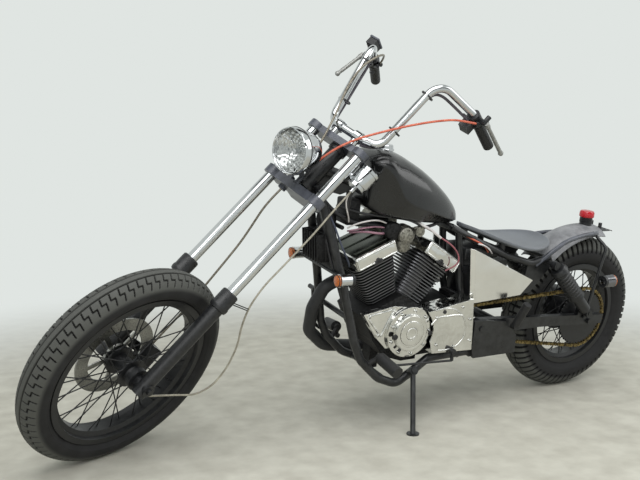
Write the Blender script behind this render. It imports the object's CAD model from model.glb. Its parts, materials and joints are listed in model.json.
import json
import math

import bmesh
import bpy
import numpy as np
from mathutils import Matrix, Vector


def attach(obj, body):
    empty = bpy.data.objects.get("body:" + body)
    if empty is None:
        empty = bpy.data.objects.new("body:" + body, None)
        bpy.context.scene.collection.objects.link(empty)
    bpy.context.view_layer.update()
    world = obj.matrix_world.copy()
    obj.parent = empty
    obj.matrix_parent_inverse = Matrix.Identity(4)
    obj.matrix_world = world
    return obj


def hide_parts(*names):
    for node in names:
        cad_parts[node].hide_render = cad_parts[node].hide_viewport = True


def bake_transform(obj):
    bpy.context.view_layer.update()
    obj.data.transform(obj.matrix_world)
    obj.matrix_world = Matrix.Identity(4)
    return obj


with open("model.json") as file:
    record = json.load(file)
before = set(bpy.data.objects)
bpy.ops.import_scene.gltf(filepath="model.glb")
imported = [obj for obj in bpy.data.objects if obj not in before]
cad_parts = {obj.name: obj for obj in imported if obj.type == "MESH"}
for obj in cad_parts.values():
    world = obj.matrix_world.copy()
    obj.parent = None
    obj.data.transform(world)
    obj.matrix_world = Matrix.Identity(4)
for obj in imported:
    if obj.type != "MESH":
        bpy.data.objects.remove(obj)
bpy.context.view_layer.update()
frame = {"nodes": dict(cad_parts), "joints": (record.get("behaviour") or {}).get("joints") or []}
joints = {joint["name"]: joint for joint in frame["joints"]}
nodes = frame["nodes"]
print("frame loaded")

# Sizes are millimetres on the motorcycle's own axes: x forward, y left, z up before it leans over.
# On the fork's axes x is forward across the fork, y left and z up the steering axis.
bike = {"axleHeight": 308.0, "steeringX": 1233.5, "steeringHeight": 808.0}
cylinders = {"crankX": 870.0, "crankHeight": 350.0, "frontLean": 22.8, "rearLean": -31.8}  # leans in degrees
millimetre = 0.001


def axesMatrix(origin, forward, across, up):
    matrix = Matrix((forward, across, up)).transposed().to_4x4() @ Matrix.Scale(millimetre, 4)
    matrix.translation = origin
    return matrix


def bikeMatrix():
    spin = joints["rear_wheel_spin"]
    across = Vector(spin["axis"]).normalized()
    axle = Vector(spin["pos_m"])
    reach = Vector(joints["steering"]["pos_m"]) - axle
    run = bike["steeringX"]
    rise = bike["steeringHeight"] - bike["axleHeight"]
    forward = (reach * run - reach.cross(across) * rise).normalized()
    up = forward.cross(across)
    return axesMatrix(axle - up * bike["axleHeight"] * millimetre, forward, across, up)


def turningMatrix(jointName, across, up):
    return axesMatrix(Vector(joints[jointName]["pos_m"]), across.cross(up), across, up)


bikeAxes = bikeMatrix()
forkUp = Vector(joints["steering"]["axis"]).normalized()
forkAcross = Vector(joints["front_wheel_spin"]["axis"]).normalized()
forkAxes = turningMatrix("steering", forkAcross, forkUp)
frontWheelAxes = turningMatrix("front_wheel_spin", forkAcross, forkUp)
bikeUp = Vector(bikeAxes.col[2][:3]).normalized()
bikeAcross = Vector(bikeAxes.col[1][:3]).normalized()
rearWheelAxes = turningMatrix("rear_wheel_spin", bikeAcross, bikeUp)
bodyAxes = {"chassis": bikeAxes, "steering": forkAxes}


# Materials

def linear(hexColour):
    channels = [int(hexColour[i:i + 2], 16) / 255 for i in (1, 3, 5)]
    return [c / 12.92 if c <= 0.04045 else ((c + 0.055) / 1.055) ** 2.4 for c in channels] + [1.0]


def addNode(tree, kind, settings=None, links=None, stops=()):
    # Settings are sockets or properties by name, and stops are a ramp's own (position, colour) pairs.
    node = tree.nodes.new("ShaderNode" + kind)
    for key, value in (settings or {}).items():
        if isinstance(key, int) or key in node.inputs:
            node.inputs[key].default_value = value
        else:
            setattr(node, key, value)
    for key, source in (links or {}).items():
        tree.links.new(source, node.inputs[key])
    for i, (position, colour) in enumerate(stops):
        node.color_ramp.elements[i].position = position
        node.color_ramp.elements[i].color = linear(colour)
    return node


def startMaterial(name, base, metallic, roughness, others=None):
    material = bpy.data.materials.new(name)
    material.use_nodes = True
    shader = material.node_tree.nodes["Principled BSDF"]
    settings = {"Base Color": linear(base), "Metallic": metallic, "Roughness": roughness, **(others or {})}
    for socket, value in settings.items():
        shader.inputs[socket].default_value = value
    return material, material.node_tree, shader


def mottle(tree, shader, sizeMm, light, dark, low, high, bump=0.0, bumpMm=0.3):
    # Uneven dust, wear or casting: two colours and two roughnesses over one noise of a real size.
    place = addNode(tree, "TexCoord")
    noise = addNode(tree, "TexNoise", {"Scale": 1000 / sizeMm, "Detail": 6.0, "Roughness": 0.6},
                    {"Vector": place.outputs["Object"]})
    ramp = addNode(tree, "ValToRGB", {}, {"Fac": noise.outputs["Fac"]}, ((0.36, dark), (0.66, light)))
    tree.links.new(ramp.outputs["Color"], shader.inputs["Base Color"])
    rough = addNode(tree, "MapRange", {"From Min": 0.3, "From Max": 0.7, "To Min": low, "To Max": high},
                    {"Value": noise.outputs["Fac"]})
    tree.links.new(rough.outputs["Result"], shader.inputs["Roughness"])
    if bump:
        relief = addNode(tree, "Bump", {"Strength": bump, "Distance": bumpMm * millimetre},
                         {"Height": noise.outputs["Fac"]})
        tree.links.new(relief.outputs["Normal"], shader.inputs["Normal"])


def mottled(name, base, metallic, roughness, pattern, others=None):
    # A material that needs nothing but its mottle. The pattern is the size in millimetres, the light and
    # dark colours, the two roughnesses, and the bump and its depth where the surface has relief.
    material, tree, shader = startMaterial(name, base, metallic, roughness, others)
    mottle(tree, shader, *pattern)
    return material


def softenEdges(tree, shader, radiusMm, waveMm, depthMm):
    # Pressed and cast edges are never knife-sharp, so the light runs along a small round.
    # A polished face is never quite flat either: its shallow waves break up what it mirrors.
    rounded = addNode(tree, "Bevel", {"samples": 4, "Radius": radiusMm * millimetre})
    place = addNode(tree, "TexCoord")
    wave = addNode(tree, "TexNoise", {"Scale": 1000 / waveMm, "Detail": 1.0},
                   {"Vector": place.outputs["Object"]})
    relief = addNode(tree, "Bump", {"Strength": 1.0, "Distance": depthMm * millimetre},
                     {"Height": wave.outputs["Fac"], "Normal": rounded.outputs["Normal"]})
    tree.links.new(relief.outputs["Normal"], shader.inputs["Normal"])


def chromeCover():
    # Chromed engine covers: warmer and duller than the bars, with haze from heat and road dust.
    material, tree, shader = startMaterial("chromedEngineCover", "#dcdcda", 1.0, 0.12)
    mottle(tree, shader, 120, "#e4e4e1", "#d2d2cf", 0.07, 0.16)
    softenEdges(tree, shader, 2.5, 42, 5.0)
    return material


def brushedSheet():
    # Hand-polished aluminium sheet: faint long scratches a third of a millimetre apart.
    material, tree, shader = startMaterial("polishedAluminiumSheet", "#cdccc6", 1.0, 0.2)
    place = addNode(tree, "TexCoord")
    stretch = addNode(tree, "Mapping", {"Scale": (1.0, 1.0, 0.06)}, {"Vector": place.outputs["Object"]})
    noise = addNode(tree, "TexNoise", {"Scale": 1000 / 3.0, "Detail": 5.0},
                    {"Vector": stretch.outputs["Vector"]})
    rough = addNode(tree, "MapRange", {"To Min": 0.08, "To Max": 0.2}, {"Value": noise.outputs["Fac"]})
    tree.links.new(rough.outputs["Result"], shader.inputs["Roughness"])
    cloud = addNode(tree, "TexNoise", {"Scale": 1000 / 120.0, "Detail": 3.0},
                    {"Vector": place.outputs["Object"]})
    tone = addNode(tree, "ValToRGB", {}, {"Fac": cloud.outputs["Fac"]}, ((0.0, "#dbdbd8"), (1.0, "#ececea")))
    tree.links.new(tone.outputs["Color"], shader.inputs["Base Color"])
    softenEdges(tree, shader, 2.0, 110, 7.0)
    return material


def tyreRubber():
    # Vulcanised tyre rubber: matt black-brown, greyed by dust on the sidewalls.
    material, tree, shader = startMaterial("tyreRubber", "#1d1d1e", 0.0, 0.75, {"Specular IOR Level": 0.3})
    mottle(tree, shader, 45, "#2c2c2d", "#1d1d1e", 0.62, 0.85, 0.15, 0.4)
    tone = shader.inputs["Base Color"].links[0].from_socket
    groove = addNode(tree, "Attribute", {"attribute_name": "groove"})
    worn = addNode(tree, "Attribute", {"attribute_name": "tread"})
    dusty = addNode(tree, "Mix", {"data_type": "RGBA"}, {0: worn.outputs["Fac"], 6: tone})
    dusty.inputs[7].default_value = linear("#51524f")
    shade = addNode(tree, "Mix", {"data_type": "RGBA"}, {0: groove.outputs["Fac"], 6: dusty.outputs[2]})
    shade.inputs[7].default_value = linear("#0c0c0c")
    tree.links.new(shade.outputs[2], shader.inputs["Base Color"])
    return material


def grainLeather():
    # Chrome-tanned cowhide over thin foam: pebbled grain about 1.6 mm wide, waxed to a low sheen.
    material, tree, shader = startMaterial("blackSaddleLeather", "#666a70", 0.0, 0.4)
    place = addNode(tree, "TexCoord")
    pebble = addNode(tree, "TexVoronoi", {"Scale": 1000 / 1.6}, {"Vector": place.outputs["Object"]})
    relief = addNode(tree, "Bump", {"Strength": 0.35, "Distance": 0.25 * millimetre},
                     {"Height": pebble.outputs["Distance"]})
    tree.links.new(relief.outputs["Normal"], shader.inputs["Normal"])
    wear = addNode(tree, "TexNoise", {"Scale": 1000 / 90.0}, {"Vector": place.outputs["Object"]})
    tone = addNode(tree, "ValToRGB", {}, {"Fac": wear.outputs["Fac"]}, ((0.0, "#5c5f64"), (1.0, "#74787e")))
    tree.links.new(tone.outputs["Color"], shader.inputs["Base Color"])
    return material


def smokedChrome(name, light, dark, low, high):
    # Black chromium: a mirror like chrome plate, but as dark as smoked glass.
    return mottled(name, light, 1.0, low, (60, light, dark, low, high))


def castAlloy(name, light, dark):
    # Sand-cast aluminium: grainy, grey and stained by oil in the corners.
    return mottled(name, light, 0.85, 0.5, (7, light, dark, 0.42, 0.66, 0.5, 0.5))


def sheathPlastic(name, light, dark):
    # Extruded PVC cable sheath: slightly waxy, soiled in patches.
    return mottled(name, light, 0.0, 0.42, (25, light, dark, 0.36, 0.5))


def lensAcrylic(name, colour):
    # Injection-moulded acrylic lens: coloured right through and glossy.
    return mottled(name, colour, 0.0, 0.12, (3, colour, colour, 0.08, 0.2, 0.4, 0.4),
                   {"Transmission Weight": 0.25, "IOR": 1.49})


def forwardOf(axes):
    return Vector(axes.col[0][:3]).normalized()


def finPaint(name, lean):
    # Black-painted cast barrel whose fin edges were machined bright after painting.
    material, tree, shader = startMaterial(name, "#141517", 0.0, 0.5)
    boreAxis = bikeUp * math.cos(math.radians(lean)) + forwardOf(bikeAxes) * math.sin(math.radians(lean))
    place = addNode(tree, "TexCoord")
    along = addNode(tree, "VectorMath", {"operation": "DOT_PRODUCT"}, {0: place.outputs["Normal"]})
    along.inputs[1].default_value = boreAxis
    flat = addNode(tree, "Math", {"operation": "ABSOLUTE"}, {0: along.outputs["Value"]})
    edge = addNode(tree, "MapRange", {"From Min": 0.5, "From Max": 0.1, "To Min": 0.0, "To Max": 1.0},
                   {"Value": flat.outputs["Value"]})
    tone = addNode(tree, "ValToRGB", {}, {"Fac": edge.outputs["Result"]},
                   ((0.0, "#090a0b"), (1.0, "#727275")))
    tree.links.new(tone.outputs["Color"], shader.inputs["Base Color"])
    tree.links.new(edge.outputs["Result"], shader.inputs["Metallic"])
    return material


paint = {
    # Sprayed black enamel under clear lacquer: deep, mirror-like, with a thin film of dust.
    "enamel": mottled("glossBlackEnamel", "#101113", 0.0, 0.24, (60, "#131415", "#0a0b0c", 0.22, 0.34),
                      {"Coat Weight": 0.55, "Coat Roughness": 0.1, "Specular IOR Level": 0.32}),
    # Brushed-on black chassis enamel: half gloss, orange peel a few millimetres wide.
    "satin": mottled("satinBlackEnamel", "#17181a", 0.0, 0.38,
                     (9, "#232426", "#131416", 0.3, 0.5, 0.25, 0.4)),
    # Grey-black stove enamel on the fork trees: smooth enough for its flat tops to look blue-grey.
    "tree": mottled("forkTreeEnamel", "#4a4d56", 0.0, 0.34, (30, "#555862", "#3d4048", 0.26, 0.42),
                    {"Specular IOR Level": 0.6}),
    # Flat black enamel greyed by road dust: the crown is pale where the dust has settled.
    "fender": mottled("dustyFenderEnamel", "#7c7d80", 0.0, 0.55, (50, "#909194", "#6c6d70", 0.45, 0.62)),
    # Powder-coated steel tube: satin, finely pebbled, greyer where it is dusty.
    "powder": mottled("blackPowderCoat", "#18191b", 0.0, 0.36,
                      (24, "#2a2b2c", "#141517", 0.26, 0.5, 0.1, 0.3)),
    # Matt heatproof paint on a steel exhaust pipe: dead flat and slightly sooty.
    "heatproof": mottled("heatproofBlackPaint", "#222325", 0.0, 0.62,
                         (40, "#2d2e30", "#1d1e20", 0.5, 0.7, 0.15, 0.3)),
    # Chromium plate on polished steel: nearly neutral, a mirror with fine wiping marks.
    "chrome": mottled("chromePlate", "#c8cacb", 1.0, 0.09, (90, "#cccecf", "#c0c2c4", 0.06, 0.13)),
    # Vacuum-metallised plastic reflector: brighter and cleaner than the plated shell round it.
    "mirror": mottled("metallisedReflector", "#e8eaea", 1.0, 0.05, (40, "#c4c6c5", "#aeb0b0", 0.03, 0.07)),
    # Ground stainless brake disc: fine circular grinding, dulled by the pads.
    "disc": mottled("groundDiscSteel", "#a8a8a4", 1.0, 0.3, (4, "#b7b7b2", "#8d8d8a", 0.24, 0.42)),
    # Gold-plated chain plates under old grease: brassy where they rub and brown between.
    "chain": mottled("goldChainPlate", "#9d8a58", 0.9, 0.4, (11, "#a08d5c", "#2f281b", 0.28, 0.6, 0.2, 0.3)),
    # Stainless braid under a clear sheath: fine bright crossings 2 mm apart, grey-brown from afar.
    "braid": mottled("braidedHose", "#7d776a", 0.5, 0.4, (4, "#9a9385", "#5a554b", 0.3, 0.5, 0.3, 0.3)),
    # Moulded rubber of grips, pegs and hoses: darker and smoother than a tyre.
    "rubber": mottled("mouldedRubber", "#1a1a1b", 0.0, 0.55, (6, "#242425", "#141415", 0.48, 0.66, 0.2, 0.2)),
    # Pressed lamp glass: clear, thin and hard-edged.
    "glass": startMaterial("clearLampGlass", "#ffffff", 0.0, 0.02,
                           {"Transmission Weight": 1.0, "IOR": 1.5})[0],
    "cover": chromeCover(), "sheet": brushedSheet(), "tyre": tyreRubber(), "leather": grainLeather(),
    "cast": castAlloy("castAluminium", "#a9a79d", "#63615b"),
    "blackCast": castAlloy("blackenedCasting", "#3a3a3b", "#1c1c1d"),
    "lever": castAlloy("castLeverAlloy", "#b4b4b1", "#8a8a87"),
    "rockerTop": smokedChrome("smokedRockerTop", "#5d615a", "#474a45", 0.2, 0.34),
    "rearSignal": smokedChrome("smokedSignalShell", "#8b8b8e", "#6a6a6d", 0.12, 0.24),
    "redLens": lensAcrylic("redLens", "#c8232f"),
    "amberLens": lensAcrylic("amberLens", "#d9742a"),
    "greyCable": sheathPlastic("greyCableSheath", "#b8b3a4", "#8d887b"),
    "redCable": sheathPlastic("redCableSheath", "#d9775c", "#bd5640"),
    "blackCable": sheathPlastic("blackCableSheath", "#242426", "#151516"),
    "whiteWire": sheathPlastic("whiteWireSheath", "#e6e3e2", "#c9c4c4"),
    "pinkWire": sheathPlastic("pinkWireSheath", "#a9808f", "#7d5868"),
    "blueWire": sheathPlastic("blueWireSheath", "#4a505f", "#33384a"),
    "plugRed": sheathPlastic("plugLeadSheath", "#a8656e", "#84474f"),
    "loom": sheathPlastic("blackLoomSleeve", "#2b2b2e", "#19191b"),
    "sleeve": sheathPlastic("greyLoomSleeve", "#5d5862", "#3e3b43"),
}
print("materials made")

cadFinish = {
    "enamel": ["fuel_tank"], "tree": ["fork_trees"], "fender": ["rear_fender"],
    "satin": ["fork_sliders", "front_rim", "rear_rim", "front_hub", "rear_hub", "electrics_box",
              "left_controls", "right_controls", "shift_linkage", "brake_pedal", "signal_lamps",
              "brake_caliper", "shock_absorbers", "tail_lamp"],
    "powder": ["main_frame", "downtubes", "cradle", "seat_rails", "rear_frame", "swing_arm", "fender_struts",
               "side_stand"],
    "heatproof": ["exhaust_pipes"],
    "chrome": ["fork_tubes", "handlebar", "headlight", "speedometer"],
    "cover": ["generator_cover", "sprocket_cover", "clutch_cover", "rocker_covers"],
    "sheet": ["side_covers"], "cast": ["carburettor"], "blackCast": ["crankcase"],
    "disc": ["front_disc"], "chain": ["drive_chain"], "tyre": ["front_tyre", "rear_tyre"],
    "rubber": ["grips", "foot_pegs"], "leather": ["saddle"], "greyCable": ["speedo_cable"],
    "braid": ["brake_hose"], "redCable": ["clutch_cable"],
}


def dress(node, material):
    node.data.materials.clear()
    node.data.materials.append(material)


for finish, names in cadFinish.items():
    for name in names:
        dress(nodes[name], paint[finish])
dress(nodes["front_cylinder"], finPaint("machinedFinsFront", cylinders["frontLean"]))
dress(nodes["rear_cylinder"], finPaint("machinedFinsRear", cylinders["rearLean"]))
print("frame dressed")


# Mesh tools

def addObject(name, data):
    thing = bpy.data.objects.new(name, data)
    bpy.context.scene.collection.objects.link(thing)
    return thing


def smoothFaces(mesh):
    mesh.polygons.foreach_set("use_smooth", [True] * len(mesh.polygons))


def joinShapes(shapes):
    # Several (points, faces) pairs as one.
    points, faces = [], []
    for more, others in shapes:
        start = len(points)
        points += list(more)
        faces += [tuple(i + start for i in face) for face in others]
    return points, faces


def addPiece(name, shapes, finish, body="chassis", sharp=35.0):
    # One piece from shapes that stand on its body's own axes. Edges past the sharp angle stay crisp.
    points, faces = joinShapes(shapes)
    mesh = bpy.data.meshes.new(name)
    mesh.from_pydata([tuple(bodyAxes[body] @ Vector(p)) for p in points], [], faces)
    smoothFaces(mesh)
    mesh.update()
    bm = bmesh.new()
    bm.from_mesh(mesh)
    bmesh.ops.recalc_face_normals(bm, faces=bm.faces)
    bm.to_mesh(mesh)
    bm.free()
    mesh.set_sharp_from_angle(angle=math.radians(sharp))
    mesh.materials.append(paint[finish])
    piece = addObject(name, mesh)
    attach(piece, body)
    return piece


def subdivide(piece):
    smooth = piece.modifiers.new("smooth", "SUBSURF")
    smooth.levels = smooth.render_levels = 2


def movedShape(shape, place):
    # The place is a matrix, or just the spot to move to.
    matrix = place if isinstance(place, Matrix) else Matrix.Translation(place)
    return [tuple(matrix @ Vector(p)) for p in shape[0]], shape[1]


def turnedShape(profile, steps, closed=False):
    # (height, radius) points turned about the Z axis.
    points, faces = [], []
    count = len(profile)
    for k in range(steps):
        angle = 2 * math.pi * k / steps
        points += [(r * math.cos(angle), r * math.sin(angle), h) for h, r in profile]
    for k in range(steps):
        a, b = k * count, (k + 1) % steps * count
        for i in range(count if closed else count - 1):
            j = (i + 1) % count
            faces.append((a + i, a + j, b + j, b + i))
    return points, faces


def loftShape(loops, capped=True):
    points = [p for loop in loops for p in loop]
    count = len(loops[0])
    faces = []
    for k in range(len(loops) - 1):
        for i in range(count):
            j = (i + 1) % count
            faces.append((k * count + i, k * count + j, (k + 1) * count + j, (k + 1) * count + i))
    if capped:
        faces.append(tuple(range(count))[::-1])
        faces.append(tuple((len(loops) - 1) * count + i for i in range(count)))
    return points, faces


def lookAlong(origin, direction):
    # A matrix whose Z axis runs along a direction.
    return Matrix.Translation(origin) @ Vector(direction).to_track_quat("Z", "Y").to_matrix().to_4x4()


def addTube(name, route, radius, finish, body="chassis", order=4, rides=True):
    # A round tube along a smooth line. Its points pull the line towards them.
    curve = bpy.data.curves.new(name, "CURVE")
    curve.dimensions = "3D"
    spline = curve.splines.new("NURBS")
    spline.points.add(len(route) - 1)
    for point, place in zip(spline.points, route):
        point.co = (*(bodyAxes[body] @ Vector(place)), 1.0)
    spline.order_u = order
    spline.use_endpoint_u = True
    spline.resolution_u = 8
    curve.bevel_depth = radius * millimetre
    curve.bevel_resolution = 3
    curve.use_fill_caps = True
    line = addObject(name + "Line", curve)
    bpy.context.view_layer.update()
    mesh = bpy.data.meshes.new_from_object(line.evaluated_get(bpy.context.evaluated_depsgraph_get()))
    bpy.data.objects.remove(line)
    smoothFaces(mesh)
    mesh.materials.clear()
    mesh.materials.append(paint[finish])
    mesh.name = name
    piece = addObject(name, mesh)
    if rides:
        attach(piece, body)
    return piece


def screwShape(origin, direction, radius, height):
    # A socket-headed cap screw standing on a face.
    head = turnedShape([(0, radius), (height - 0.8, radius), (height, radius - 0.8),
                        (height, radius * 0.55)], 16)
    socket = turnedShape([(height, radius * 0.55), (height * 0.35, radius * 0.5), (height * 0.35, 0.01)], 6)
    return movedShape(joinShapes([head, socket]), lookAlong(origin, direction))


def rodShape(start, end, radius, steps=24):
    # A straight rod with its ends just broken.
    run = Vector(end) - Vector(start)
    edge = min(0.8, radius / 3)
    profile = [(0, 0.01), (0, radius - edge), (edge, radius), (run.length - edge, radius),
               (run.length, radius - edge), (run.length, 0.01)]
    return movedShape(turnedShape(profile, steps), lookAlong(start, run))


def blockShape(length, width, height, edge):
    # A block with rounded edges, centred on x and y and standing on z.
    loops = []
    for inset, z in ((0.9, 0.0), (0.3, 0.3), (0.0, 1.0), (0.0, -1.0), (0.3, -0.3), (0.9, 0.0)):
        loop = []
        for k in range(16):
            angle = math.radians(30 * (k % 4) + 90 * (k // 4))
            signX, signY = ((1, 1), (-1, 1), (-1, -1), (1, -1))[k // 4]
            loop.append((signX * (length / 2 - edge) + edge * (1 - inset) * math.cos(angle),
                         signY * (width / 2 - edge) + edge * (1 - inset) * math.sin(angle),
                         z * edge if len(loops) < 3 else height + z * edge))
        loops.append(loop)
    return loftShape(loops)


def crossBike(x, y, z):
    return lookAlong((x, y, z), (0, 1, 0))


# Tyres

frontTyre = {"outer": 331.3, "halfWidth": 50.0, "bead": 241.3, "beadHalf": 33.7, "blocks": 72, "steps": 18,
             "across": 52, "grooveDeep": 4.5}
rearTyre = {"outer": 308.0, "halfWidth": 63.0, "bead": 190.5, "beadHalf": 43.7, "blocks": 66, "steps": 18,
            "across": 56, "grooveDeep": 6.5}
sidewall = {"pastHalf": 8, "rise": 16, "steps": 8, "bulge": 3.0, "ridge": 0.9, "offset": -200, "sharp": 28,
            "cutReach": 1.5, "dustReach": 1.35, "dustFade": 12}


def tyreSection(size):
    # Points from one bead over the crown to the other, with the arc length from the crown.
    crown = size["outer"] - size["halfWidth"]
    half = size["halfWidth"]
    low = size["bead"] + sidewall["rise"]
    section = []
    for i in range(size["across"] + 1):
        angle = math.radians((180 + 2 * sidewall["pastHalf"]) * i / size["across"] - sidewall["pastHalf"])
        section.append((half * math.cos(angle), crown + half * math.sin(angle), half * (angle - math.pi / 2)))
    wall = []
    startY, startR = section[0][:2]
    for i in range(1, sidewall["steps"] + 1):
        t = i / sidewall["steps"]
        bulge = sidewall["bulge"] * math.sin(math.pi * t) + (sidewall["ridge"] if i in (2, 6) else 0.0)
        wall.append((startY + (size["beadHalf"] - startY) * t + bulge, startR + (low - startR) * t,
                     sidewall["offset"]))
    wall.append((size["beadHalf"], size["bead"] + 0.3, sidewall["offset"]))
    left = [(-y, r, s) for y, r, s in wall]
    return wall[::-1] + section + left


# Along a block as a share of it, and across from the crown in millimetres of arc.
frontPattern = {"lead": 0.008, "sipe": 0.14, "inner": (15, 34), "outer": (31, 55), "step": (31, 34.5),
                "line": (9, 1.7)}
rearPattern = {"lead": 0.006, "wave": 3.0, "inner": (14, 30), "innerShare": 0.2, "slot": (30, 92),
               "slotShare": 0.36, "ribs": ((29, 2.6), (10, 2.4))}


def blockPhase(part, offset, lead):
    # The two sides of a tyre are half a block apart, and each cut leans forward on its way out.
    return (part + np.where(offset > 0, 0.5, 0.0) + abs(offset) * lead) % 1.0


def within(side, span):
    return (side > span[0]) & (side < span[1])


def frontTread(part, offset):
    # Stepped sipes on each shoulder, either side of a plain centre band with a fine line at each edge.
    side, wide = abs(offset), frontPattern["sipe"]
    phase = blockPhase(part, offset, frontPattern["lead"])
    inner = (phase < wide) & within(side, frontPattern["inner"])
    outer = (phase > 0.5) & (phase < 0.5 + wide) & within(side, frontPattern["outer"])
    step = (phase < 0.5 + wide) & within(side, frontPattern["step"])
    place, half = frontPattern["line"]
    return inner | outer | step | (abs(side - place) < half)


def rearTread(part, offset):
    # Zigzag ribs inside and square blocks on the shoulders.
    side = abs(offset)
    phase = blockPhase(part, offset, rearPattern["lead"])
    wave = rearPattern["wave"] * np.sin(math.pi * part)
    cut = (phase < rearPattern["slotShare"]) & within(side, rearPattern["slot"])
    cut |= (phase < rearPattern["innerShare"]) & within(side, rearPattern["inner"])
    for place, half in rearPattern["ribs"]:
        cut |= abs(side - place - wave) < half
    return cut


def makeTyre(name, size, pattern, body, axes, node):
    section = np.array(tyreSection(size))
    steps = size["blocks"] * size["steps"]
    angle = 2 * math.pi * np.arange(steps) / steps
    offset, part = np.meshgrid(section[:, 2], np.arange(steps) / size["steps"])
    cut = pattern(part, offset) & (abs(offset) < size["halfWidth"] * sidewall["cutReach"])
    depth = np.where(cut, -size["grooveDeep"], 0.0)
    crown = size["outer"] - size["halfWidth"]
    y = np.broadcast_to(section[:, 0], depth.shape)
    r = np.broadcast_to(section[:, 1], depth.shape)
    length = np.hypot(y, r - crown)
    y = y + depth * y / length
    r = r + depth * (r - crown) / length
    wide = np.broadcast_to(angle[:, None], depth.shape)
    points = np.stack([r * np.cos(wide), y, r * np.sin(wide)], axis=-1).reshape(-1, 3)
    count = len(section)
    index = np.arange(steps * count).reshape(steps, count)
    after = np.roll(index, -1, axis=0)
    faces = np.stack([index[:, :-1], index[:, 1:], after[:, 1:], after[:, :-1]], axis=-1).reshape(-1, 4)
    world = np.array(axes)
    placed = points @ world[:3, :3].T + world[:3, 3]
    mesh = bpy.data.meshes.new(name)
    mesh.from_pydata(placed.tolist(), [], faces.tolist())
    smoothFaces(mesh)
    mesh.update()
    mesh.set_sharp_from_angle(angle=math.radians(sidewall["sharp"]))
    # The material reads where a groove runs and how far the dusty tread reaches.
    tread = np.clip((size["halfWidth"] * sidewall["dustReach"] - abs(offset)) / sidewall["dustFade"], 0, 1)
    for label, values in (("groove", cut), ("tread", tread)):
        layer = mesh.attributes.new(label, "FLOAT", "POINT")
        layer.data.foreach_set("value", values.astype(np.float32).ravel())
    mesh.materials.append(paint["tyre"])
    piece = addObject(name, mesh)
    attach(piece, body)
    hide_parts(node)


makeTyre("frontTreadedTyre", frontTyre, frontTread, "front_wheel", frontWheelAxes, "front_tyre")
makeTyre("rearTreadedTyre", rearTyre, rearTread, "rear_wheel", rearWheelAxes, "rear_tyre")
print("tyres made")


# Chain

chain = {"y": 80.0, "rearRadius": 117.0, "frontRadius": 48.0, "frontX": 690.0, "frontZ": 353.0, "pitch": 12.7,
         "plateHeight": 11.6, "plateThick": 1.7, "innerY": 5.2, "outerY": 7.1, "rollerRadius": 4.0}


def aroundPoint(centre, radius, angle):
    return centre + Vector((math.cos(angle), math.sin(angle))) * radius


def chainPath(size):
    # The pitch line as a function of distance, and its length: top run, front arc, bottom run, rear arc.
    rear = Vector((0.0, bike["axleHeight"]))
    front = Vector((size["frontX"], size["frontZ"]))
    reach = (front - rear).length
    slope = math.atan2(front.y - rear.y, front.x - rear.x)
    spread = math.asin((size["rearRadius"] - size["frontRadius"]) / reach)
    straight = reach * math.cos(spread)
    top = slope + math.pi / 2 - spread
    low = slope - math.pi / 2 + spread
    frontArc = size["frontRadius"] * (math.pi - 2 * spread)
    rearArc = size["rearRadius"] * (math.pi + 2 * spread)
    total = 2 * straight + frontArc + rearArc

    def at(distance):
        d = distance % total
        if d < straight:
            return aroundPoint(aroundPoint(rear, size["rearRadius"], top), d, top - math.pi / 2)
        d -= straight
        if d < frontArc:
            return aroundPoint(front, size["frontRadius"], top - d / size["frontRadius"])
        d -= frontArc
        if d < straight:
            return aroundPoint(aroundPoint(front, size["frontRadius"], low), d, low - math.pi / 2)
        return aroundPoint(rear, size["rearRadius"], low - (d - straight) / size["rearRadius"])

    return at, total


def linkPlate(size, low, high):
    # A waisted side plate of one pitch, its length along x.
    half, eye = size["pitch"] / 2, size["plateHeight"] / 2
    outline = []
    for side, start in ((1, -90), (-1, 90)):
        for k in range(7):
            angle = math.radians(start + 30 * k)
            outline.append((side * half + eye * 0.95 * math.cos(angle), eye * math.sin(angle)))
        outline.append((0, side * eye * 0.66))
    return loftShape([[(x, y, z) for x, z in outline] for y in (low, high)])


def makeChain(size):
    at, total = chainPath(size)
    count = round(total / size["pitch"] / 2) * 2
    step = total / count
    shapes = []
    for k in range(count):
        a, b = at(k * step), at((k + 1) * step)
        middle = (a + b) / 2
        angle = math.atan2(b.y - a.y, b.x - a.x)
        place = Matrix.Translation((middle.x, size["y"], middle.y)) @ Matrix.Rotation(-angle, 4, "Y")
        edge = size["innerY"] if k % 2 else size["outerY"]
        thick = size["plateThick"]
        for side in (-1, 1):
            low, high = sorted((side * edge, side * (edge - thick)))
            shapes.append(movedShape(linkPlate(size, low, high), place))
        pin = turnedShape([(-size["outerY"] - 0.8, 0.01), (-size["outerY"] - 0.8, 2.0), (-4.2, 2.0),
                           (-4.2, size["rollerRadius"]), (4.2, size["rollerRadius"]), (4.2, 2.0),
                           (size["outerY"] + 0.8, 2.0), (size["outerY"] + 0.8, 0.01)], 8)
        shapes.append(movedShape(pin, crossBike(a.x, size["y"], a.y)))
    piece = addPiece("rollerChain", shapes, "chain")
    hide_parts("drive_chain")


makeChain(chain)
print("chain made")


# Saddle

saddle = {"rim": 6.0, "dish": 7.0, "spine": (320.0, 568.0), "lift": 6.0, "sharp": 80.0}
# The edge as x and half width, and the height of the seat along x.
saddlePlan = [(592, 0), (589, 18), (570, 30), (530, 46), (490, 68), (450, 96), (410, 120), (365, 134),
              (325, 137), (285, 129), (250, 110), (222, 80), (206, 42), (201, 0)]
saddleRise = [(200, 630), (238, 618), (280, 612), (325, 610), (370, 613), (410, 621), (460, 638), (510, 658),
              (560, 677), (592, 684)]


def alongTable(table, x):
    for (x0, v0), (x1, v1) in zip(table, table[1:]):
        if x <= x1:
            t = max(0.0, (x - x0) / (x1 - x0))
            t = t * t * (3 - 2 * t) * 0.35 + t * 0.65
            return v0 + (v1 - v0) * t
    return table[-1][1]


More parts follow.
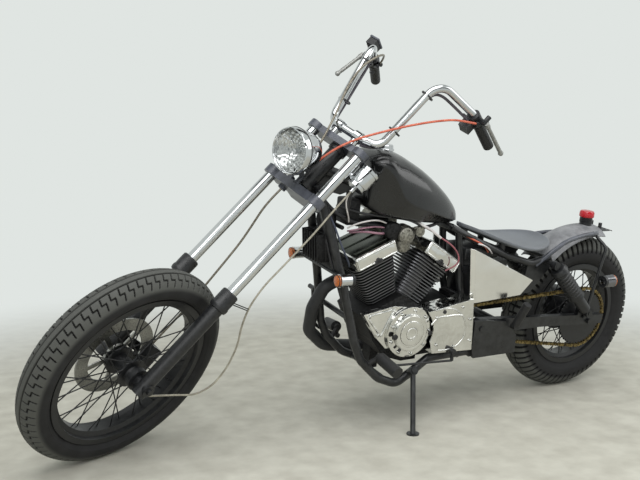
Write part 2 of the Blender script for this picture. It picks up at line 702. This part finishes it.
def makeSaddle(size):
    half = [Vector((x, y)) for x, y in saddlePlan]
    outline = half + [Vector((p.x, -p.y)) for p in reversed(half[1:-1])]
    tail, nose = size["spine"]
    core = [Vector((min(max(p.x, tail), nose), 0.0)) for p in outline]
    roll = size["rim"]
    # Each ring is its share of the way out to the edge and its height over the seat line.
    rings = [(share, -size["dish"] * (1 - share ** 2)) for share in (0.14, 0.3, 0.5, 0.7, 0.84)]
    rings += [(0.9, 0.5), (0.95, 2.4), (0.985, 2.0), (1.0, -1.5), (1.005, -roll), (0.985, -2 * roll + 2),
              (0.93, -2 * roll), (0.6, -2 * roll - 4), (0.3, -2 * roll - 6), (0.14, -2 * roll - 6)]
    loops = []
    for share, drop in rings:
        loop = []
        for edge, middle in zip(outline, core):
            p = middle + (edge - middle) * share
            loop.append((p.x, p.y, alongTable(saddleRise, p.x) + drop + size["lift"]))
        loops.append(loop)
    points, faces = loftShape(loops, False)
    count = len(outline)
    for start in (0, len(points) - count):
        middle = start + count // 2
        faces += [(start, start + 1, start + count - 1), (middle - 1, middle, middle + 1)]
        faces += [(start + i, start + i + 1, start + count - i - 1, start + count - i)
                  for i in range(1, count // 2 - 1)]
    piece = addPiece("leatherSaddle", [(points, faces)], "leather", sharp=size["sharp"])
    subdivide(piece)
    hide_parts("saddle")


makeSaddle(saddle)
print("saddle made")


# Tank

tankSections = [
    # x, half width at the ridge, bottom, ridge height, top
    (1018, 62, 770, 896, 918), (1012, 78, 768, 908, 930), (984, 106, 750, 912, 951),
    (946, 119, 739, 866, 953), (920, 122, 733, 808, 947), (885, 123, 727, 784, 934),
    (840, 120, 719, 768, 910), (800, 114, 714, 757, 889), (750, 101, 708, 742, 854),
    (700, 86, 706, 724, 815), (660, 64, 704, 717, 776), (636, 46, 703, 712, 746)]
tank = {"floorShare": 0.8, "sideDip": 2.5, "crownSteps": 8, "ridgeCrease": 0.75, "sharp": 180.0,
        "cap": (930, 0, 944)}


def makeTank(size):
    loops = []
    for x, half, bottom, ridge, top in tankSections:
        low = half * size["floorShare"]
        side = [(low * 0.2, bottom), (low * 0.7, bottom), (low, bottom + 4)]
        for t in (0.35, 0.7, 0.94):
            side.append((low + (half - low) * t - size["sideDip"] * math.sin(math.pi * t),
                         bottom + 4 + (ridge - bottom - 4) * t))
        side.append((half, ridge))
        for k in range(1, size["crownSteps"]):
            angle = math.radians(90 * k / size["crownSteps"])
            bulge = 0.86 + 0.14 * math.cos(angle * 2) ** 2
            side.append((half * math.cos(angle) ** (0.8 * bulge),
                         ridge + (top - ridge) * math.sin(angle) ** 0.92))
        loop = [(x, y, z) for y, z in side]
        loops.append(loop + [(x, 0, top)] + [(x, -y, z) for x, y, z in reversed(loop)] + [(x, 0, bottom)])
    piece = addPiece("steelTank", [loftShape(loops)], "enamel", sharp=size["sharp"])
    subdivide(piece)
    # The ridge along each side stays a soft edge: it is the seventh point of a loop and its mirror.
    crease = piece.data.attributes.new("crease_edge", "FLOAT", "EDGE")
    count = len(loops[0])
    ridgeAt = {6, count - 8}
    for edge in piece.data.edges:
        a, b = edge.vertices
        if a % count == b % count and a % count in ridgeAt:
            crease.data[edge.index].value = size["ridgeCrease"]
    cap = turnedShape([(0, 30), (4, 30), (7, 27), (16, 26), (19, 23), (20, 0.01)], 40)
    addPiece("fillerCap", [movedShape(cap, size["cap"])], "chrome")
    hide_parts("fuel_tank")


makeTank(tank)
print("tank made")


# Headlamp and speedometer

lamp = {"rim": (179.0, 0.0, 46.0), "direction": (82.0, 0.0, -66.0), "radius": 70.0, "flutes": (9, 72),
        "fluteDepth": 1.6, "fluteSharp": 5.0}


def makeLamp(size):
    look = lookAlong(size["rim"], size["direction"])
    radius = size["radius"]
    shell = turnedShape([(-116, 0.01), (-112, 22), (-104, 36), (-90, 50), (-64, 60), (-38, 64),
                         (-30, 65)], 64)
    bezel = turnedShape([(-32, 65), (-30, radius - 1), (-24, radius + 1), (-8, radius + 1), (0, radius - 1),
                         (2, radius - 4), (-3, radius - 6), (-6, radius - 8), (-20, radius - 8)], 64)
    shellPiece = addPiece("lampShell", [movedShape(shell, look), movedShape(bezel, look)], "chrome",
                          "steering")
    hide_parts("headlight")
    edge = turnedShape([(-23, radius + 0.6), (-22, radius + 1.8), (-19, radius + 1.8),
                        (-18, radius + 0.6)], 64)
    addPiece("lampGasket", [movedShape(edge, look)], "rubber", "steering")
    rim = Vector(size["rim"]) - Vector(size["direction"]).normalized() * 60
    arm = [rodShape((43, 0, 10), (43, 0, 42), 8), rodShape((43, 0, 36), rim, 8),
           rodShape((43, 0, 10), (43, 0, 16), 13), rodShape((44, -6, 58), (48, 4, 84), 7)]
    addPiece("lampBracket", arm, "tree", "steering")
    # A bowl of flutes fanned round the bulb, each a few millimetres proud of the next.
    bowl = []
    rings, steps = size["flutes"]
    for i in range(rings + 1):
        r = (radius - 8) * (0.12 + 0.88 * i / rings)
        loop = []
        for k in range(steps):
            flute = size["fluteDepth"] * (1 if (k // 3 + i) % 2 else -1)
            angle = 2 * math.pi * k / steps
            loop.append((r * math.cos(angle), r * math.sin(angle), -46 + 38 * (r / radius) ** 2 + flute))
        bowl.append(loop)
    addPiece("lampReflector", [movedShape(loftShape(bowl, False), look)], "mirror",
             "steering", size["fluteSharp"])
    bulb = turnedShape([(-46, 9), (-26, 9), (-22, 7), (-20, 0.01)], 24)
    addPiece("lampBulb", [movedShape(bulb, look)], "chrome", "steering")
    dome = [(-6, radius - 8.5)]
    for k in range(1, 9):
        angle = math.radians(90 * k / 8)
        dome.append((-6 + 13 * math.sin(angle), max((radius - 8.5) * math.cos(angle), 0.01)))
    inside = [(h - 2.2, max(r - 1, 0.01)) for h, r in reversed(dome)]
    addPiece("lampGlass", [movedShape(turnedShape(dome + inside, 64), look)], "glass",
             "steering")


makeLamp(lamp)

speedo = {"centre": (-14.0, 131.0), "low": 126.0, "high": 190.0, "radius": 33.5}


def makeSpeedo(size):
    place = (*size["centre"], 0)
    r, low, high = size["radius"], size["low"], size["high"]
    can = turnedShape([(low, 0.01), (low, 20), (low + 6, r - 2), (low + 14, r + 0.4), (high - 12, r + 0.4),
                       (high - 11, r + 3.4), (high - 2, r + 3.4), (high + 1, r + 1), (high + 0.6, r - 2)], 56)
    addPiece("speedoCan", [movedShape(can, place)], "chrome", "steering")
    face = turnedShape([(high + 0.4, r - 1.6), (high + 0.8, 0.01)], 56)
    addPiece("speedoFace", [movedShape(face, place)], "blackCable", "steering")


makeSpeedo(speedo)

collar = {"forward": 36.0, "across": 96.0, "top": -370.0, "length": 52.0, "radius": 27.5}


def makeCollars(size):
    # A rubber wiper on top of each fork slider and a turned flange below its collar.
    shapes = []
    r, length = size["radius"], size["length"]
    profile = [(-length - 9, r - 4.5), (-length - 7, r + 0.2), (-length + 1, r + 2.2), (-length + 8, r + 2.2),
               (-length + 11, r + 0.2), (-6, r + 0.3), (0, r - 0.6), (3, r - 3), (4, r - 6), (4, 17.0)]
    for side in (-1, 1):
        place = (size["forward"], side * size["across"], size["top"])
        shapes.append(movedShape(turnedShape(profile, 48), place))
    # Two turns of thin tie hold the speedometer cable off the left leg.
    shapes += [rodShape((12, 104, h), (-52, 123, h + 20), 1.7, 8) for h in (-392, -386)]
    addPiece("sliderWipers", shapes, "satin", "steering")


makeCollars(collar)
print("lamps made")


# Signals and tail lamp

signals = [
    # x, y, z, radius, half length, material of the body
    (1132.0, 160.0, 566.0, 19.0, 29.0, "chrome"), (1132.0, -160.0, 566.0, 19.0, 29.0, "chrome"),
    (-8.0, 176.0, 484.0, 22.0, 29.0, "rearSignal"), (-8.0, -176.0, 484.0, 22.0, 29.0, "rearSignal")]


def makeSignals():
    for k, (x, y, z, r, half, finish) in enumerate(signals):
        facing = 1 if x > 500 else -1
        look = lookAlong((x, y, z), (facing, 0, 0))
        body = turnedShape([(-half - 0.6, 0.01), (-half - 0.6, r * 0.5), (-half + 4, r * 0.8),
                            (-half + 12, r + 0.5), (half - 14, r + 0.6), (half - 12, r + 1.8),
                            (half - 8, r + 1.8), (half - 7, r - 1)], 40)
        addPiece(f"signalBody{k}", [movedShape(body, look)], finish)
        lens = turnedShape([(half - 8, r - 0.4), (half - 3, r + 0.4), (half + 1, r - 3),
                            (half + 2.5, r * 0.5), (half + 3, 0.01)], 40)
        addPiece(f"signalLens{k}", [movedShape(lens, look)], "amberLens")


makeSignals()

fender = {"x": -45.0, "z": 322.0, "radius": 350.0, "front": 50.0, "rear": -4.5, "drop": 12.0, "half": 78.0,
          "rise": 30.0, "wall": 3.0, "lengths": 30, "rail": 8.5, "railDrop": 34}


def makeFender(size):
    curve = (size["half"] ** 2 + size["rise"] ** 2) / (2 * size["rise"])
    loops = []
    for k in range(size["lengths"] + 1):
        t = k / size["lengths"]
        angle = math.radians(size["front"] + (size["rear"] - size["front"]) * t)
        low = size["radius"] - size["rise"] - size["drop"] * t
        section = []
        for j in range(-12, 13):
            y = size["half"] * j / 12
            section.append((y, low + math.sqrt(curve ** 2 - y ** 2) - curve + size["rise"]))
        shrink = 1 - size["wall"] / size["half"]
        section += [(y * shrink, r - size["wall"]) for y, r in reversed(section)]
        loops.append([(size["x"] + r * math.sin(angle), y, size["z"] + r * math.cos(angle))
                      for y, r in section])
    piece = addPiece("bobbedFender", [loftShape(loops)], "fender")
    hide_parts("rear_fender")
    for name, side in (("leftFenderRail", 1), ("rightFenderRail", -1)):
        drop = 0 if side > 0 else size["railDrop"]
        route = [(300, 104, 545), (268, 110, 570), (206, 112, 611 - drop), (164, 108, 630 - drop),
                 (70, 94, 644 - drop), (-10, 82, 644 - drop), (-30, 66, 640 - drop)]
        addTube(name, [(x, side * y, z) for x, y, z in route], size["rail"], "tree", order=3)
    post = [rodShape((-92, 22, 644), (-92, 22, 668), 7), rodShape((-92, -22, 644), (-92, -22, 668), 7),
            rodShape((-100, 22, 650), (-160, 26, 634), 1.6, 8)]
    addPiece("plateBolts", post, "loom")


makeFender(fender)

tailLamp = {"x": -34.0, "low": 656.0, "z": 691.0, "radius": 27.0, "height": 24.0}


def makeTailLamp(size):
    r, h = size["radius"], size["height"]
    lens = turnedShape([(0, r + 0.4), (3, r + 1.2), (h - 6, r + 0.6), (h - 1, r - 3), (h, r - 8),
                        (h + 0.5, 0.01)], 48)
    addPiece("tailLens", [movedShape(lens, (size["x"], 0, size["z"] - 1))], "redLens")
    rings = [(0, 0.01), (0, 26), (3, 26), (4, 23), (12, 23)]
    for k in range(3):
        rings += [(14 + 5 * k, 24.5), (16 + 5 * k, 24.5), (17 + 5 * k, 23)]
    rings += [(size["z"] - size["low"], 24), (size["z"] - size["low"], 0.01)]
    body = movedShape(turnedShape(rings, 40), (size["x"], 0, size["low"]))
    piece = addPiece("tailLampBody", [body], "satin")
    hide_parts("tail_lamp")


makeTailLamp(tailLamp)
print("signals made")


# Shock absorbers

shock = {"top": (243.0, 552.0), "foot": (38.0, 352.0), "y": 147.0, "coilFrom": 34.0, "coilTo": 176.0,
         "coilRadius": 27.0, "wire": 4.6, "turns": 9.0, "turnSteps": 20, "wireSides": 8}


def makeSprings(size):
    top = Vector((size["top"][0], 0, size["top"][1]))
    foot = Vector((size["foot"][0], 0, size["foot"][1]))
    run = foot - top
    length = run.length
    shapes = []
    for side in (-1, 1):
        look = lookAlong(top + Vector((0, side * size["y"], 0)), run)
        steps = int(size["turns"] * size["turnSteps"])
        rings = []
        for k in range(steps + 1):
            t = k / steps
            angle = 2 * math.pi * size["turns"] * t
            z = size["coilFrom"] + (size["coilTo"] - size["coilFrom"]) * t
            out = Vector((math.cos(angle), math.sin(angle), 0))
            centre = out * (size["coilRadius"] - 1.5) + Vector((0, 0, z))
            rings.append([tuple(centre + (out * math.cos(a) + Vector((0, 0, 1)) * math.sin(a)) * size["wire"])
                          for a in [2 * math.pi * j / size["wireSides"] for j in range(size["wireSides"])]])
        shapes.append(movedShape(loftShape(rings), look))
        damper = turnedShape([(16, 0.01), (16, 24), (24, 30), (32, 33), (33, 20), (100, 19), (100, 12),
                              (168, 12), (172, 30), (184, 31), (188, 22), (length - 24, 21),
                              (length - 20, 0.01)], 40)
        shapes.append(movedShape(damper, look))
    addPiece("springs", shapes, "satin")


makeSprings(shock)
print("springs made")


# Engine dressing

engine = {"coverX": 840.0, "coverZ": 352.0, "coverY": 136.0, "screwCircle": 76, "screws": 9,
          "screwSpots": [(640, 140, 428), (600, 140, 380), (590, 140, 300), (660, 140, 286),
                         (735, 140, 300), (745, 140, 400), (1000, 116, 418), (960, 116, 350),
                         (915, 116, 436), (885, 116, 306)]}


def makeCoverDetail(size):
    x, z = size["coverX"], size["coverZ"]
    ring = turnedShape([(-2, 62), (1.5, 61), (2, 56), (0.5, 52), (0.5, 50)], 72)
    dome = turnedShape([(0.2, 44), (2.5, 43), (4, 30), (4.2, 22.6), (1.5, 22)], 64)
    cap = turnedShape([(0, 21.5), (3, 21), (4, 19), (4, 15), (2.6, 14), (2.6, 0.01)], 48)
    shapes = [movedShape(shape, crossBike(x, size["coverY"] + out, z))
              for shape, out in ((ring, 0), (dome, 0), (cap, 2))]
    for k in range(size["screws"]):
        angle = math.radians(20 + 360 / size["screws"] * k)
        spot = (x + size["screwCircle"] * math.cos(angle), 126, z + size["screwCircle"] * math.sin(angle))
        shapes.append(screwShape(spot, (0, 1, 0), 5.5, 6))
    shapes += [screwShape(spot, (0, 1, 0), 5.0, 5) for spot in size["screwSpots"]]
    addPiece("coverDetail", shapes, "cover")


makeCoverDetail(engine)

coverRibs = [
    # name, radius, route
    ("coverRib", 3.6, [(764, 140, 376), (748, 140, 396), (724, 140, 404), (700, 140, 398), (672, 140, 404),
                       (638, 140, 398)]),
    ("coverArc", 3.2, [(752, 139, 424), (703, 139, 436), (640, 139, 415), (606, 139, 350), (622, 139, 296),
                       (668, 139, 272), (722, 139, 278)]),
    ("caseRibA", 3.4, [(1000, 117, 421), (950, 117, 430), (902, 117, 436)]),
    ("caseRibB", 3.4, [(902, 117, 436), (924, 117, 402), (946, 117, 348)]),
    ("caseRibC", 3.0, [(1004, 117, 414), (972, 117, 374), (948, 117, 346)])]
for name, radius, route in coverRibs:
    addTube(name, route, radius, "cover")
coverPlugs = [(714, 417, 7), (766, 347, 8), (905, 347, 9), (884, 300, 6)]  # x, z, radius
addPiece("coverPlugs", [rodShape((x, 138, z), (x, 142.5, z), r) for x, z, r in coverPlugs], "loom")

# The front edge of each side cover is folded back against the frame.
foldEnds = [[(599, 120, 623), (613, 109, 625), (611, 106, 625), (597, 117, 623)],
            [(571, 120, 429), (585, 109, 427), (583, 106, 427), (569, 117, 429)]]
folds = [loftShape([[(x, side * y, z) for x, y, z in end] for end in foldEnds]) for side in (1, -1)]
addPiece("coverFolds", folds, "sheet")

rocker = {"length": 158.0, "width": 200.0, "height": 48.0, "base": 266.4, "edge": 7.0, "bead": 2.6}


def cylinderAxes(lean):
    crank = Matrix.Translation((cylinders["crankX"], 0, cylinders["crankHeight"]))
    return crank @ Matrix.Rotation(math.radians(lean), 4, "Y")


def makeRockerCovers(size):
    covers, tops, bolts = [], [], []
    long, across, high, low = size["length"], size["width"], size["height"], size["base"]
    half, wide, inset = long / 2, across / 2, 7
    for lean in (cylinders["frontLean"], cylinders["rearLean"]):
        axes = cylinderAxes(lean)

        def block(length, width, height, edge, place):
            return movedShape(blockShape(length, width, height, edge), axes @ Matrix.Translation(place))

        covers.append(block(long, across, high, size["edge"], (0, 0, low)))
        tops.append(block(long - 16, across - 16, 2.4, 1.1, (0, 0, low + high - 1)))
        for y in (-wide + 30, 0, wide - 30):
            tops.append(block(long - 30, 7, 5, 2, (0, y, low + high)))
        for side in (-1, 1):
            y = side * (wide - 0.4)
            corners = [(-half + inset, y, low + 6), (half - inset, y, low + 6),
                       (half - inset, y, low + high - inset), (-half + inset, y, low + high - inset)]
            for k in range(4):
                covers.append(movedShape(rodShape(corners[k], corners[(k + 1) % 4], size["bead"], 12), axes))
            bolt = rodShape((0, side * (wide - 6), low + 9), (0, side * (wide + 3), low + 9), 8)
            bolts.append(movedShape(bolt, axes))
            bolts.append(block(30, 8, 13, 2, (0, side * (wide - 1), low - 3)))
    piece = addPiece("rockerCovers", covers, "cover")
    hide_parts("rocker_covers")
    addPiece("rockerTops", tops, "rockerTop")
    addPiece("rockerBolts", bolts, "loom")


makeRockerCovers(rocker)

carb = {"x": 868.0, "z": 676.0, "front": 94.0, "screwCircle": 19}


def makeCarbDetail(size):
    x, z, y = size["x"], size["z"], size["front"]

    def rod(start, end, radius):
        return rodShape(*[(x + a, y + b, z + c) for a, b, c in (start, end)], radius)

    body = turnedShape([(0, 0.01), (0, 25), (14, 25), (16, 22), (34, 22), (36, 27), (46, 27), (49, 24),
                        (52, 12), (53, 0.01)], 40)
    bright = [movedShape(body, crossBike(x, y - 54, z))]
    for k in range(5):
        angle = math.radians(30 + 72 * k)
        spot = (x + size["screwCircle"] * math.cos(angle), y - 7, z + size["screwCircle"] * math.sin(angle))
        bright.append(screwShape(spot, (0, 1, 0), 4.2, 5))
    bowl = turnedShape([(0, 0.01), (0, 17), (5, 20), (26, 24), (38, 24), (40, 0.01)], 32)
    bright += [movedShape(bowl, (x - 4, y - 32, z - 58)),
               rod((-46, -44, 4), (-10, -20, 2), 15), rod((-52, -12, 12), (-52, -4, 12), 17),
               rod((-52, -40, 12), (-52, -2, 12), 5), rod((-30, -14, 24), (-66, -10, 30), 4)]
    drum = turnedShape([(0, 0.01), (0, 30), (20, 31), (26, 27), (29, 14), (30, 0.01)], 40)
    dark = [movedShape(drum, crossBike(x + 46, y - 42, z + 14)), rod((20, -40, 6), (46, -32, 14), 16),
            rod((-60, -50, -8), (40, -50, 20), 17)]
    addPiece("carbBody", bright, "cast")
    addPiece("carbCover", dark, "blackCast")


makeCarbDetail(carb)
print("engine dressed")

neck = {"regulator": (1128, 640), "tilt": 6, "fins": 7, "finSpan": 100,
        "rods": [((1098, 0, 722), (1116, 0, 722), 12), ((1098, -60, 706), (1098, 60, 706), 7),
                 ((1050, 0, 780), (1050, 0, 815), 9)],  # start, end, radius
        # length, width, height and rounded edge of each box, and where the middle of its foot stands
        "boxes": [((50, 74, 82, 6), (1047, 0, 706)), ((126, 62, 24, 5), (968, 0, 699)),
                  ((60, 90, 34, 6), (1078, 0, 560))]}


def makeNeck(size):
    x, z = size["regulator"]
    tilt = Matrix.Translation((x, 0, z - 46)) @ Matrix.Rotation(math.radians(size["tilt"]), 4, "Y")
    shapes = [movedShape(blockShape(40, 112, 96, 5), tilt)]
    for k in range(size["fins"]):
        y = size["finSpan"] * (k / (size["fins"] - 1) - 0.5)
        shapes.append(movedShape(blockShape(30, 5, 92, 1.5), tilt @ Matrix.Translation((30, y, 2))))
    horn = turnedShape([(0, 0.01), (0, 26), (10, 30), (22, 37), (26, 38), (30, 36), (31, 20), (28, 10),
                        (30, 0.01)], 40)
    shapes.append(movedShape(horn, lookAlong((1112, 6, 722), (1.0, 0.25, 0.1))))
    shapes += [rodShape(start, end, radius) for start, end, radius in size["rods"]]
    shapes += [movedShape(blockShape(*block), place) for block, place in size["boxes"]]
    addPiece("neckElectrics", shapes, "blackCast")


makeNeck(neck)

looms = [
    # name, radius, finish, route
    ("neckLoomA", 6.0, "loom", [(1160, 22, 806), (1150, 50, 770), (1136, 66, 710), (1120, 80, 640),
        (1102, 94, 560), (1088, 104, 480)]),
    ("neckLoomB", 5.0, "loom", [(1166, -10, 800), (1160, 26, 750), (1152, 52, 690), (1140, 58, 620),
        (1112, 70, 548), (1092, 92, 470)]),
    ("neckLoomC", 7.0, "loom", [(1150, 10, 790), (1128, 34, 756), (1090, 46, 736), (1050, 44, 716),
        (990, 40, 708), (920, 42, 700), (870, 44, 690)]),
    ("neckLoomD", 3.2, "blueWire", [(1168, 24, 812), (1160, 46, 776), (1132, 74, 716), (1112, 88, 650),
        (1080, 90, 600), (1066, 70, 580)]),
    ("neckWireE", 2.8, "whiteWire", [(1070, 44, 700), (1052, 64, 719), (1010, 68, 728), (960, 66, 730),
        (914, 52, 704)]),
    ("neckWireF", 2.8, "pinkWire", [(1070, 44, 690), (1050, 66, 700), (1006, 70, 707), (965, 68, 708),
        (918, 56, 694)]),
    ("neckWireG", 4.0, "pinkWire", [(1060, 40, 684), (1030, 62, 692), (993, 70, 690), (950, 68, 680),
        (912, 58, 684)]),
    ("throttleCable", 4.0, "loom", [(814, 88, 704), (850, 90, 730), (915, 78, 736), (985, 60, 742),
        (1050, 46, 752), (1110, 30, 772)]),
    ("fuelHose", 5.5, "loom", [(700, 30, 708), (730, 60, 700), (780, 70, 700), (822, 66, 690)]),
    ("seatLoomA", 5.0, "loom", [(664, 30, 700), (640, 60, 676), (600, 74, 660), (540, 66, 640),
        (470, 50, 604)]),
    ("seatLoomB", 3.2, "redCable", [(650, 20, 694), (618, 60, 664), (560, 78, 640), (520, 80, 620),
        (500, 70, 596)]),
    ("seatLoomC", 3.0, "whiteWire", [(560, 84, 632), (532, 88, 628), (506, 84, 612), (486, 76, 592)])]
for name, radius, finish, route in looms:
    addTube(name, route, radius, finish)
addPiece("seatPan", [movedShape(blockShape(150, 120, 44, 8), (515, 0, 568))], "satin")

# The speedometer's wires bend between the fork and the frame.
toFork = forkAxes.inverted() @ bikeAxes
speedoWires = [("speedoWireA", 3.4, "loom", 0), ("speedoWireB", 2.4, "whiteWire", 7),
               ("speedoWireC", 2.8, "loom", -8)]
for name, radius, finish, shift in speedoWires:
    atNeck = ((1116 + shift, 108, 815), (1106 + shift, 92, 780), (1090, 72 + shift, 745),
              (1072, 44 + shift, 722))
    route = [(-14 + shift, 131, 128), (-22 + shift, 128, 104)] + [tuple(toFork @ Vector(p)) for p in atNeck]
    wire = addTube(name, route, radius, finish, "steering", rides=False)
    tuple(forkAxes @ Vector(route[1]))
    tuple(forkAxes @ Vector(route[-2]))
    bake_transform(wire)
print("neck dressed")

plugLead = [(822, 40, 716), (790, 112, 698), (758, 122, 674), (718, 124, 655), (682, 124, 625),
            (664, 122, 592), (672, 118, 570), (706, 104, 552)]
addTube("plugLead", plugLead, 2.6, "plugRed")
plugSleeve = [(826, 70, 720), (800, 106, 705), (778, 118, 690), (756, 122.5, 673)]
addTube("plugSleeve", plugSleeve, 4.4, "whiteWire", order=3)

barLoom = [(20, 60, 232), (-16, 98, 262), (-8, 104, 310), (8, 116, 400), (24, 126, 480), (16, 142, 514),
           (-40, 180, 526), (-100, 216, 536)]
for name, side in (("leftLoom", 1), ("rightLoom", -1)):
    addTube(name, [(a, side * y, h) for a, y, h in barLoom], 4.6, "sleeve", "steering", order=3)

bar = {"perch": (-121.0, 227.4, 558.9), "along": (-0.969, 0.2456, -0.0033), "leverRadius": 6.4,
       "leverEnds": ((1, (-262, 300, 568)), (-1, (-110, 300, 450))), "ties": ((38, 130, 476), (6, 110, 334)),
       "tieAim": (0.213, 0.138, 0.967), "tieRadius": 19.5}


def makeBarFittings(size):
    # Alloy lever blades, the fluid reservoir's lid, the switch knobs and the ties round bar and loom.
    perch, along = Vector(size["perch"]), Vector(size["along"])
    levers, dark = [], []
    for side, ball in size["leverEnds"]:
        flip = Matrix.Scale(side, 4, Vector((0, 1, 0)))
        pivot = perch + Vector((18, 44, 0))
        r = size["leverRadius"]
        run = Vector(ball) - pivot
        tip = run.length
        blade = turnedShape([(0, 0.01), (0, 8), (14, 9), (26, r), (tip - 20, r + 0.6), (tip - 8, r),
                             (tip - 6, 8), (tip, 9.4), (tip + 6, 7), (tip + 8, 0.01)], 24)
        levers.append(movedShape(movedShape(blade, lookAlong(pivot, run)), flip))
        knobs = [(-along * 30, along * 2, 21), (Vector((-4, -18, -34)), Vector((10, -34, -40)), 7),
                 (Vector((6, -20, -12)), Vector((22, -40, -14)), 6), (along * 4, along * 12, 22)]
        dark += [movedShape(rodShape(perch + start, perch + end, radius), flip)
                 for start, end, radius in knobs]
        for spot in size["ties"]:
            inner, outer = size["tieRadius"], size["tieRadius"] + 2
            ring = turnedShape([(-2.5, inner), (2.5, inner), (2.5, outer), (-2.5, outer)], 28, True)
            dark.append(movedShape(movedShape(ring, lookAlong(spot, size["tieAim"])), flip))
    top = perch + Vector((46, 18, 46))
    lid = movedShape(blockShape(50, 40, 8, 2.5), (top.x, -top.y, top.z))
    addPiece("leverBlades", levers, "lever", "steering")
    addPiece("barSwitches", dark, "loom", "steering")
    addPiece("reservoirLid", [lid], "tree", "steering")


makeBarFittings(bar)
print("wiring made")


# Stage, light and camera, in metres

def stagePlane(name, corners, material):
    mesh = bpy.data.meshes.new(name)
    mesh.from_pydata(corners, [], [tuple(range(len(corners)))])
    mesh.materials.append(material)
    piece = addObject(name, mesh)
    return piece


def seenDirectly(tree):
    # One for rays that show the surface itself, straight on, in a mirror or through glass.
    path = addNode(tree, "LightPath")
    either = addNode(tree, "Math", {"operation": "MAXIMUM"},
                     {0: path.outputs["Is Camera Ray"], 1: path.outputs["Is Glossy Ray"]})
    return addNode(tree, "Math", {"operation": "MAXIMUM"},
                   {0: either.outputs["Value"], 1: path.outputs["Is Transmission Ray"]}).outputs["Value"]


def floorPaint(room):
    # Worn grey vinyl floor that fades into the wall's tone away from the motorcycle.
    material, tree, shader = startMaterial("paleFloor", room["floor"], 0.0, 0.75)
    place = addNode(tree, "TexCoord")
    scuff = addNode(tree, "TexNoise", {"Scale": 1000 / 90.0, "Detail": 8.0},
                    {"Vector": place.outputs["Object"]})
    tone = addNode(tree, "ValToRGB", {}, {"Fac": scuff.outputs["Fac"]},
                   ((0.3, room["floorScuff"]), (0.7, room["floor"])))
    tree.links.new(tone.outputs["Color"], shader.inputs["Base Color"])
    away = addNode(tree, "VectorMath", {"operation": "LENGTH"}, {0: place.outputs["Object"]})
    fade = addNode(tree, "MapRange", {"interpolation_type": "SMOOTHSTEP", "From Min": room["fadeFrom"],
                                      "From Max": room["fadeTo"]}, {"Value": away.outputs["Value"]})
    wall = addNode(tree, "Emission", {"Strength": room["glow"]})
    wall.inputs["Color"].default_value = linear(room["wall"])
    seen = addNode(tree, "Math", {"operation": "MULTIPLY"},
                   {0: fade.outputs["Result"], 1: seenDirectly(tree)})
    mixed = addNode(tree, "MixShader", {}, {0: seen.outputs["Value"], 1: shader.outputs["BSDF"],
                                            2: wall.outputs["Emission"]})
    tree.links.new(mixed.outputs["Shader"], tree.nodes["Material Output"].inputs["Surface"])
    return material


room = {"floor": "#cbc9bd", "floorScuff": "#b5b2a6", "wall": "#e2e7e4", "glow": 0.98, "fill": 0.55,
        "fadeFrom": 1.25, "fadeTo": 3.2, "reach": 12}
reach = room["reach"]
stagePlane("floor", [(-reach, -reach, 0), (reach, -reach, 0), (reach, reach, 0), (-reach, reach, 0)],
           floorPaint(room))

world = bpy.data.worlds.new("paleRoom")
bpy.context.scene.world = world
world.use_nodes = True
worldTree = world.node_tree
back = worldTree.nodes["Background"]
back.inputs["Color"].default_value = linear(room["wall"])
strength = addNode(worldTree, "MapRange", {"To Min": room["fill"], "To Max": room["glow"]},
                   {"Value": seenDirectly(worldTree)})
worldTree.links.new(strength.outputs["Result"], back.inputs["Strength"])

# Dark cloths that only mirrors see: they give chrome the dark bands of a furnished room.
cloths = [
    ("clothHigh", [(-2.5, 2.6, 1.5), (3.4, 2.6, 1.5), (3.4, 2.6, 2.3), (-2.5, 2.6, 2.3)]),
    ("clothFront", [(2.9, -2.4, 0.5), (2.9, 1.2, 0.5), (2.9, 1.2, 1.3), (2.9, -2.4, 1.3)]),
    ("clothOver", [(-1.6, -1.0, 2.7), (1.8, -1.0, 2.7), (1.8, -0.2, 2.7), (-1.6, -0.2, 2.7)])]
clothBlack = startMaterial("blackCloth", "#101010", 0.0, 0.9)[0]
for name, corners in cloths:
    cloth = stagePlane(name, corners, clothBlack)
    cloth.visible_camera = cloth.visible_diffuse = cloth.visible_shadow = False
    cloth.visible_transmission = False

lamps = [
    # name, place, target, size, power
    ("ceiling", (0.6, 1.2, 3.2), (0.1, 0.0, 0.4), 3.2, 75.0),
    ("keySide", (2.6, 3.4, 2.4), (0.2, 0.0, 0.5), 2.2, 55.0),
    ("rearFill", (-2.6, 1.6, 2.2), (-0.4, 0.0, 0.5), 2.0, 26.0)]
for name, place, target, size, power in lamps:
    light = bpy.data.lights.new(name, "AREA")
    light.size = size
    light.energy = power
    holder = addObject(name, light)
    holder.location = place
    holder.rotation_euler = (Vector(target) - Vector(place)).to_track_quat("-Z", "Y").to_euler()

shot = {"place": (1.4633, 2.2410, 0.8914), "down": 5.6, "heading": 151.49, "lens": 44.72, "sensor": 36.0}
camera = bpy.data.cameras.new("camera")
camera.lens = shot["lens"]
camera.sensor_width = shot["sensor"]
camera.clip_start = 0.05
holder = addObject("camera", camera)
holder.location = shot["place"]
holder.rotation_euler = (math.radians(90 - shot["down"]), 0, math.radians(shot["heading"]))
bpy.context.scene.camera = holder
bpy.context.scene.view_settings.view_transform = "Standard"
print("stage set")
